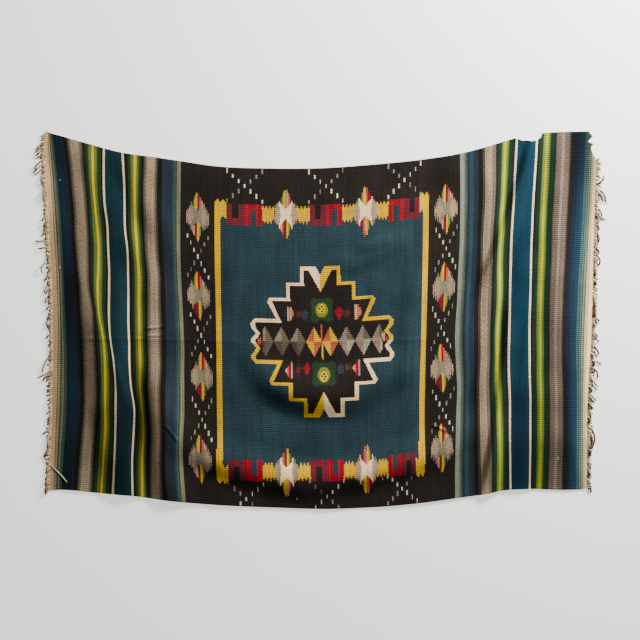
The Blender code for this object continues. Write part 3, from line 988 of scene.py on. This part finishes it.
def add_attribute(attributes, name, kind, domain, key, values):
    """A value at each point or face corner of a mesh, for its material."""
    attributes.new(name, kind, domain).data.foreach_set(key, np.asarray(values, np.float32).ravel())


def paint_piece(mesh, middles, sizes, flat):
    """Gives each face its yarn's colour with its painted light and shade, and each point its place in the
    flat web.
    """
    limit = np.array([LENGTH, WIDTH]) / 2 - EDGE_INSIDE
    u, v = np.clip(middles, -limit, limit).T / MM
    colours = [colour for group in YARNS.values() for colour in group.values()]
    carded = np.array([strength for strength, group in YARNS.items() for _ in group])
    depths = np.array([DEEP_RIBS.get(name, 0.0) for name in YARN_NAMES])
    yarn = woven(u, v)
    colour = np.ones((len(yarn), 4))
    # The yarn's colour with the painted light and shade patches laid into it.
    colour[:, :3] = linear(colours)[yarn] * painted_light_factor(u, v)[:, None]
    place = np.concatenate([flat, np.zeros((len(flat), 1))], axis=1)
    corners = np.repeat(np.arange(len(yarn)), sizes)
    add_attribute(mesh.color_attributes, "yarn", "FLOAT_COLOR", "CORNER", "color", colour[corners])
    add_attribute(mesh.attributes, "carded", "FLOAT", "CORNER", "value", carded[yarn][corners])
    add_attribute(mesh.attributes, "deep", "FLOAT", "CORNER", "value", depths[yarn][corners])
    add_attribute(mesh.attributes, "flat", "FLOAT_VECTOR", "POINT", "vector", place)


def add_piece(name, mesh, material):
    mesh.materials.append(material)
    piece = bpy.data.objects.new(name, mesh)
    bpy.context.scene.collection.objects.link(piece)
    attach(piece, "root")
    return piece


# --- The fringe ---
# Plied warp ends along each end of the web, from its top down: where each leaves the edge (v), its
# length, and its headings at the root, the middle and the tip, in degrees from straight out towards -Y.
CORDS_LEFT = (
    (576, 44, 35, 40, 45), (560, 40, 25, 35, 50), (546, 36, 20, 35, 50), (532, 32, 40, 20, 10),
    (515, 56, 25, 50, 100), (502, 56, 25, 45, 40), (490, 48, 40, 40, 30), (473, 58, 40, 85, 155),
    (434, 80, 60, 92, 95), (350, 60, 55, 92, 100), (322, 28, 5, 50, 80), (312, 34, 40, 70, 60),
    (294, 40, 20, 75, 130), (278, 34, 40, 48, 50), (262, 26, 30, 70, 100), (246, 44, 25, 15, 5),
    (238, 47, 10, 0, -20), (219, 41, 20, 10, 0), (200, 28, 40, 90, 150), (185, 26, 40, 95, 160),
    (166, 62, 12, 60, 192), (134, 41, 50, 58, 65), (128, 30, 20, 60, 110), (112, 28, 40, 60, 70),
    (94, 45, 15, 60, 80), (85, 36, 30, 60, 55), (72, 28, 50, 80, 130), (56, 40, 10, 60, 80),
    (48, 30, 30, 70, 100), (21, 28, 30, 40, 60), (-4, 80, 30, 92, 145), (-12, 30, 20, 80, 150),
    (-30, 30, 20, 85, 155), (-48, 30, 25, 80, 140), (-74, 30, 30, 40, 50), (-96, 18, 50, 80, 100),
    (-130, 16, 40, 80, 120), (-150, 77, 28, 66, 96), (-186, 20, 0, -20, -30), (-198, 58, 35, 30, 5),
    (-206, 36, 30, 60, 110), (-211, 43, 32, 36, 80), (-225, 25, 35, 35, 40), (-245, 21, 35, 35, 35),
    (-366, 12, 30, 40, 60), (-378, 12, 10, 30, 50), (-401, 34, 30, 30, 30), (-414, 54, 45, 85, 105),
    (-425, 83, 60, 80, 65), (-440, 30, 40, 80, 140), (-452, 50, 60, 62, 60), (-462, 34, 55, 65, 60),
    (-515, 30, 55, 62, 70), (-528, 28, 50, 60, 60), (-540, 32, 55, 65, 60), (-552, 28, 40, 60, 75),
    (-562, 34, 55, 60, 60), (-574, 30, 50, 65, 65), (-586, 32, 45, 60, 60), (-600, 26, 50, 60, 70),
)
CORDS_RIGHT = (
    (509, 9, -45, -50, -55), (482, 12, 0, 0, 0), (428, 43, -20, -50, -105), (411, 64, -10, 62, 68),
    (402, 32, 0, 50, 120), (399, 40, 10, 60, 65), (365, 72, 75, 64, -30), (351, 42, 20, 60, 115),
    (332, 31, 50, 45, 10), (316, 30, 20, 80, 150), (306, 34, 30, 90, 160), (294, 30, 10, 70, 150),
    (282, 34, 30, 85, 150), (270, 34, 20, 80, 140), (258, 40, 10, 80, 175), (240, 32, 30, 80, 150),
    (219, 30, 45, 55, 65), (199, 60, 55, 72, 170), (176, 36, 60, 95, 90), (140, 30, 50, 90, 100),
    (101, 20, 20, 80, 150), (60, 16, 0, 40, 80), (46, 60, 70, 84, 70), (10, 40, 60, 80, 60),
    (-18, 31, 45, 35, 20), (-26, 30, 30, 70, 150), (-56, 19, -25, -25, -25), (-71, 27, 40, 45, 50),
    (-86, 33, 35, 45, 55), (-123, 42, 8, 60, 72), (-130, 34, 50, 60, 60), (-147, 25, 70, 70, 70),
    (-172, 30, 10, 80, 160), (-178, 40, -5, 12, 90), (-186, 26, 40, 90, 150), (-195, 52, 20, 60, 150),
    (-204, 26, 30, 60, 100), (-215, 20, -20, -20, -20), (-232, 40, 40, 48, 52), (-240, 26, 30, 70, 120),
    (-247, 37, 38, 45, 65), (-262, 22, 40, 70, 110), (-292, 32, 15, 35, 60), (-298, 26, 30, 50, 70),
    (-316, 27, 60, 50, 20), (-324, 24, 30, 70, 120), (-343, 37, 50, 85, 170), (-366, 20, 40, 80, 130),
    (-394, 17, 10, 10, 10), (-395, 100, 28, 92, 100), (-410, 70, 40, 88, 100), (-430, 30, 20, 80, 150),
    (-456, 28, 30, 85, 150), (-476, 28, 30, 80, 150), (-500, 24, 40, 85, 150), (-524, 26, 30, 80, 140),
    (-546, 26, 40, 85, 150), (-566, 24, 40, 80, 130), (-600, 30, 20, 75, 170),
)
# One end worked loose, lying over the web: u_from, v_from, u_to, v_to, and how far it bows, in metres.
STRAY_END = (-0.938, -0.518, -0.876, -0.583)
STRAY_BOW = 0.0016
STRAY_TONE = 1.5
STRAY_STEPS = 48

# Lengths and radii of the yarns, in metres. All lie a little flattened, just clear of the floor.
FLATNESS = 0.4
FLOOR_GAP = 0.0004
CORD_RADIUS = 0.0021
STRAY_RADIUS = 0.0014
THRUM_RADIUS = 0.0012
KNOT_RADIUS = 0.0024
KNOT_YARN = 0.0012
TUFT_LENGTH = (0.010, 0.017)
THRUM_LENGTH = (0.008, 0.027)
# How many there are on a side, and the share of each one's part of the edge that it keeps off its ends.
TUFTS_PER_SIDE = 196
TUFT_MARGIN = 0.3
THRUMS_PER_SIDE = 220
THRUM_MARGIN = 0.1
# How far in from the edge they start.
INSET = 0.004
THRUM_INSET = 0.002
# A cord's plies: how far they lie from its middle in radii, the length of a turn, and how far they are
# lighter and darker than the cord. It thins from a share of its run on, to a share of its radius.
PLY_SHARE = 0.75
PLY_TURN = 0.0085
PLY_TONE = 0.05
THIN_FROM = 0.8
CORD_TAPER = 0.25
TUFT_TAPER = 0.6
STRAY_TAPER = 0.7
CORD_STEP = 0.0015
CORD_SIDES = 6
# How a cord wanders, in radians, and over how many waves, where it comes down, and how high it hops.
WANDER = 0.22
WANDER_WAVES = (1.2, 2.2)
COME_DOWN = 0.010
CORD_HOPS = (0.0012, 0.0034, 0.0056)
TUFT_HOP = 0.002
TUFT_HEADINGS = ((-20, 40), (10, 70), (30, 130))
TUFT_TONE = (0.2, 1.1)
# A knot's size, how far out it sits, where its turns start, how many they are, how they spread and
# lean, and its tone.
KNOT_SIZE = (0.8, 1.25)
KNOT_REACH = (-0.001, 0.006)
KNOT_START = (0.0, 6.28)
KNOT_TURNS = 1.4
KNOT_SPREAD = 2.4
KNOT_LEAN = (-0.6, 0.6)
KNOT_TONE = (0.35, 1.0)
KNOT_STEPS = 16
# A thrum's first heading and its curl, in degrees, how early it is down, how high it hops, how much it
# thins, and its tone.
THRUM_HEADING = (0, 60)
THRUM_CURL = (40, 190)
THRUM_DROP = 1.3
THRUM_HOP = (0.0, 0.003)
THRUM_THINNING = 0.6
# Their tones reach down to the dark end: the dark thrums are painted shade for the gaps among the knots at
# the edge.
THRUM_TONE = (0.0, 0.9)
THRUM_STEPS = 9
THRUM_SIDES = 5


def beside_and_above(path):
    """Directions beside and above a path at each of its points, the second flattened."""
    tangent = np.gradient(path, axis=0)
    tangent /= np.linalg.norm(tangent, axis=1, keepdims=True)
    beside = np.cross(tangent, (0.0, 0.0, 1.0))
    beside /= np.maximum(np.linalg.norm(beside, axis=1, keepdims=True), 1e-6)
    return beside, FLATNESS * np.cross(beside, tangent)


class TubeMesh:
    """Many closed tubes gathered into one mesh."""

    def __init__(self):
        self.points = []
        self.tones = []
        self.faces = []
        self.count = 0

    def add(self, path, radii, sides, tone):
        """A tube along a path, with a radius at each of its points, closed at both ends, in one tone."""
        beside, above = beside_and_above(path)
        turns = np.linspace(0.0, 2 * math.pi, sides, endpoint=False)[:, None]
        ring = np.cos(turns) * beside[:, None] + np.sin(turns) * above[:, None]
        points = (path[:, None] + ring * radii[:, None, None]).reshape(-1, 3)
        ids = self.count + np.arange(len(points)).reshape(-1, sides)
        after = np.roll(ids, -1, axis=1)
        quads = np.stack([ids[:-1], after[:-1], after[1:], ids[1:]], axis=-1).reshape(-1, 4)
        self.points.append(points)
        self.tones.append(np.full(len(points), tone))
        self.faces += quads.tolist() + [ids[0, ::-1].tolist(), ids[-1].tolist()]
        self.count += len(points)

    def mesh(self, name):
        mesh = bpy.data.meshes.new(name)
        mesh.from_pydata(np.concatenate(self.points).tolist(), [], self.faces)
        add_attribute(mesh.attributes, "tone", "FLOAT", "POINT", "value", np.concatenate(self.tones))
        mesh.shade_smooth()
        return mesh


def on_web(u, v):
    """A point on top of the laid web."""
    return laid_surface(np.array([u]), np.array([v]))[0, 0] + (0.0, 0.0, WALL)


def walked(start, side, headings, step):
    """x and y along even steps outward from a start, each with its own heading."""
    out = np.concatenate([[0.0], np.cumsum(np.cos(headings[:-1]) * step)])
    down = np.concatenate([[0.0], np.cumsum(np.sin(headings[:-1]) * step)])
    return start[0] + side * out, start[1] - down


def cord_path(side, v, length, headings, hop, rng):
    """A loose warp end: it leaves the edge outward, takes its headings and comes down to the floor."""
    root, middle, tip = headings
    steps = max(8, round((length + INSET) / CORD_STEP))
    share = np.linspace(0.0, 1.0, steps)
    heading = root * (1 - share) * (1 - 2 * share) + middle * 4 * share * (1 - share)
    heading = np.radians(heading + tip * share * (2 * share - 1))
    waves = rng.uniform(*WANDER_WAVES) * share + rng.random()
    heading = heading + WANDER * np.sin(2 * math.pi * waves) * share
    start = on_web(side * (LENGTH / 2 - INSET), v)
    x, y = walked(start, side, heading, (length + INSET) / (steps - 1))
    outside = eased((share * (length + INSET) - INSET) / COME_DOWN)
    lowest = FLATNESS * CORD_RADIUS * (1.0 + PLY_SHARE) + FLOOR_GAP
    z = start[2] + (lowest - start[2]) * outside + hop * np.sin(math.pi * share) ** 2
    return np.stack([x, y, z], axis=1)


def add_cord(tubes, path, radius, tone, taper):
    """Two plies wound about a path, thinning at the tip."""
    steps = np.linalg.norm(np.diff(path, axis=0), axis=1)
    run = np.concatenate([[0.0], np.cumsum(steps)])
    beside, above = beside_and_above(path)
    thin = 1.0 - (1.0 - taper) * eased((run / run[-1] - THIN_FROM) / (1.0 - THIN_FROM))
    for phase, shift in ((0.0, PLY_TONE), (math.pi, -PLY_TONE)):
        turn = (2 * math.pi * run / PLY_TURN + phase)[:, None]
        wound = np.cos(turn) * beside + np.sin(turn) * above
        ply = path + wound * (radius * PLY_SHARE * thin)[:, None]
        tubes.add(ply, radius * thin, CORD_SIDES, tone + shift)


def add_knot(tubes, side, v, rng):
    """A turn and a bit of yarn pulled tight round a warp end at the edge."""
    size = rng.uniform(*KNOT_SIZE)
    radius, yarn = KNOT_RADIUS * size, KNOT_YARN * size
    middle = on_web(side * LENGTH / 2, v)
    middle[0] += side * rng.uniform(*KNOT_REACH)
    middle[2] = FLATNESS * (radius + yarn) + FLOOR_GAP
    turn = np.linspace(0.0, 2 * math.pi * KNOT_TURNS, KNOT_STEPS) + rng.uniform(*KNOT_START)
    along = np.linspace(-0.5, 0.5, KNOT_STEPS) * yarn * KNOT_SPREAD
    across = np.cos(turn) * radius
    lean = rng.uniform(*KNOT_LEAN)
    ring = np.stack([side * (along + lean * across), across, np.sin(turn) * radius * FLATNESS], axis=1)
    tubes.add(middle + ring, np.full(KNOT_STEPS, yarn), CORD_SIDES, rng.uniform(*KNOT_TONE))


def add_thrum(tubes, side, v, rng):
    """A short single end, curled against the edge."""
    share = np.linspace(0.0, 1.0, THRUM_STEPS)
    length = rng.uniform(*THRUM_LENGTH)
    turn = math.radians(rng.uniform(*THRUM_HEADING)) + math.radians(rng.uniform(*THRUM_CURL)) * share
    start = on_web(side * (LENGTH / 2 - THRUM_INSET), v)
    x, y = walked(start, side, turn, length / (THRUM_STEPS - 1))
    drop = start[2] - FLATNESS * THRUM_RADIUS - FLOOR_GAP
    z = start[2] - drop * eased(share * THRUM_DROP) + rng.uniform(*THRUM_HOP) * np.sin(math.pi * share)
    radii = THRUM_RADIUS * (1.0 - THRUM_THINNING * share**2)
    tubes.add(np.stack([x, y, z], axis=1), radii, THRUM_SIDES, rng.uniform(*THRUM_TONE))


def add_stray_end(tubes):
    """The one end that lies in over the web instead of out from its edge."""
    u_from, v_from, u_to, v_to = STRAY_END
    share = np.linspace(0.0, 1.0, STRAY_STEPS)
    bow = STRAY_BOW * np.sin(math.pi * share)
    places = zip(u_from + (u_to - u_from) * share + bow, v_from + (v_to - v_from) * share + bow, strict=True)
    path = np.array([on_web(u, v) for u, v in places])
    path[:, 2] += FLATNESS * STRAY_RADIUS * (1.0 + PLY_SHARE)
    add_cord(tubes, path, STRAY_RADIUS, STRAY_TONE, STRAY_TAPER)


def places_along(side, count, margin, rng):
    """Places along an end edge, one at random in each even part of it, but none at the worn corner."""
    for number in range(count):
        v = WIDTH * ((number + rng.uniform(margin, 1.0 - margin)) / count - 0.5)
        if side < 0 or bitten(CORNER_BITE, v, 0.0) == 0.0:
            yield v


def add_fringe(name, side, cords, cord_tones, material, seed):
    """All the loose ends on one end of the web, as one piece."""
    rng = random.Random(seed)
    tubes = TubeMesh()
    for number, (v, length, *headings) in enumerate(cords):
        hop = CORD_HOPS[number % len(CORD_HOPS)]
        path = cord_path(side, v * MM, length * MM, headings, hop, rng)
        add_cord(tubes, path, CORD_RADIUS, rng.uniform(*cord_tones), CORD_TAPER)
    for v in places_along(side, TUFTS_PER_SIDE, TUFT_MARGIN, rng):
        headings = [rng.uniform(*heading) for heading in TUFT_HEADINGS]
        path = cord_path(side, v, rng.uniform(*TUFT_LENGTH), headings, TUFT_HOP, rng)
        add_cord(tubes, path, CORD_RADIUS, rng.uniform(*TUFT_TONE), TUFT_TAPER)
        add_knot(tubes, side, v, rng)
    for v in places_along(side, THRUMS_PER_SIDE, THRUM_MARGIN, rng):
        add_thrum(tubes, side, v, rng)
    if side < 0:
        add_stray_end(tubes)
    piece = add_piece(name, tubes.mesh(name), material)
    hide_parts(name)
    return piece


# --- Floor, light and camera ---
# The width and the middle of what the camera sees, in metres.
FRAME_WIDTH = 2.181
FRAME_MIDDLE = (-0.0066, -0.0002)
CAMERA_HEIGHT = 5.0
FLOOR_SIZE = 14.0
FLOOR_GLOW = 0.9
KEY_PLACE = (2.4, 2.85, 1.1)
KEY_SIZE = 1.0
KEY_WATTS = 700.0
KEY_COLOUR = (1.0, 0.97, 0.93)
AMBIENT = 0.15


def add_floor():
    bpy.ops.mesh.primitive_plane_add(size=FLOOR_SIZE, location=(0.0, 0.0, -FLOOR_GAP))
    floor = bpy.context.object
    floor.name = "floor"
    nodes = Nodes("floor_paper")
    nodes.feed(nodes.shader, {
        "Base Color": (0.86, 0.86, 0.85, 1.0),
        "Roughness": 0.9,
        "Specular IOR Level": 0.1,
        "Emission Color": (1.0, 1.0, 0.99, 1.0),
        "Emission Strength": FLOOR_GLOW,
    })
    floor.data.materials.append(nodes.material)


def add_lights():
    light = bpy.data.lights.new("key", "AREA")
    light.shape = "DISK"
    light.size = KEY_SIZE
    light.energy = KEY_WATTS
    light.color = KEY_COLOUR
    lamp = bpy.data.objects.new("key", light)
    lamp.location = KEY_PLACE
    lamp.rotation_euler = (-Vector(KEY_PLACE)).to_track_quat("-Z", "Y").to_euler()
    bpy.context.scene.collection.objects.link(lamp)
    world = bpy.data.worlds.new("studio")
    world.use_nodes = True
    background = world.node_tree.nodes["Background"]
    background.inputs["Color"].default_value = (0.95, 0.98, 1.0, 1.0)
    background.inputs["Strength"].default_value = AMBIENT
    bpy.context.scene.world = world


def add_camera():
    data = bpy.data.cameras.new("camera")
    data.lens = data.sensor_width * CAMERA_HEIGHT / FRAME_WIDTH
    data.clip_end = 50.0
    camera = bpy.data.objects.new("camera", data)
    camera.location = (*FRAME_MIDDLE, CAMERA_HEIGHT)
    bpy.context.scene.collection.objects.link(camera)
    bpy.context.scene.camera = camera


# --- The scene ---
add_floor()
add_lights()
add_camera()

cloth_wool = tapestry_wool()
left_wool = fringe_wool("yarn_left", (206, 174, 132), (84, 56, 36))
right_wool = fringe_wool("yarn_right", (238, 214, 182), (72, 52, 40))
# The loose cords take the darker end of these tones: partly the yarn's own brown, partly painted shade.
fringes = {
    "cloth_left": add_fringe("fringe_left", -1, CORDS_LEFT, (0.25, 0.7), left_wool, 7),
    "cloth_right": add_fringe("fringe_right", 1, CORDS_RIGHT, (-0.1, 0.25), right_wool, 9),
}
for piece_name, piece_start, piece_end in PIECES:
    web = add_web_piece(piece_name, piece_start, piece_end, cloth_wool)
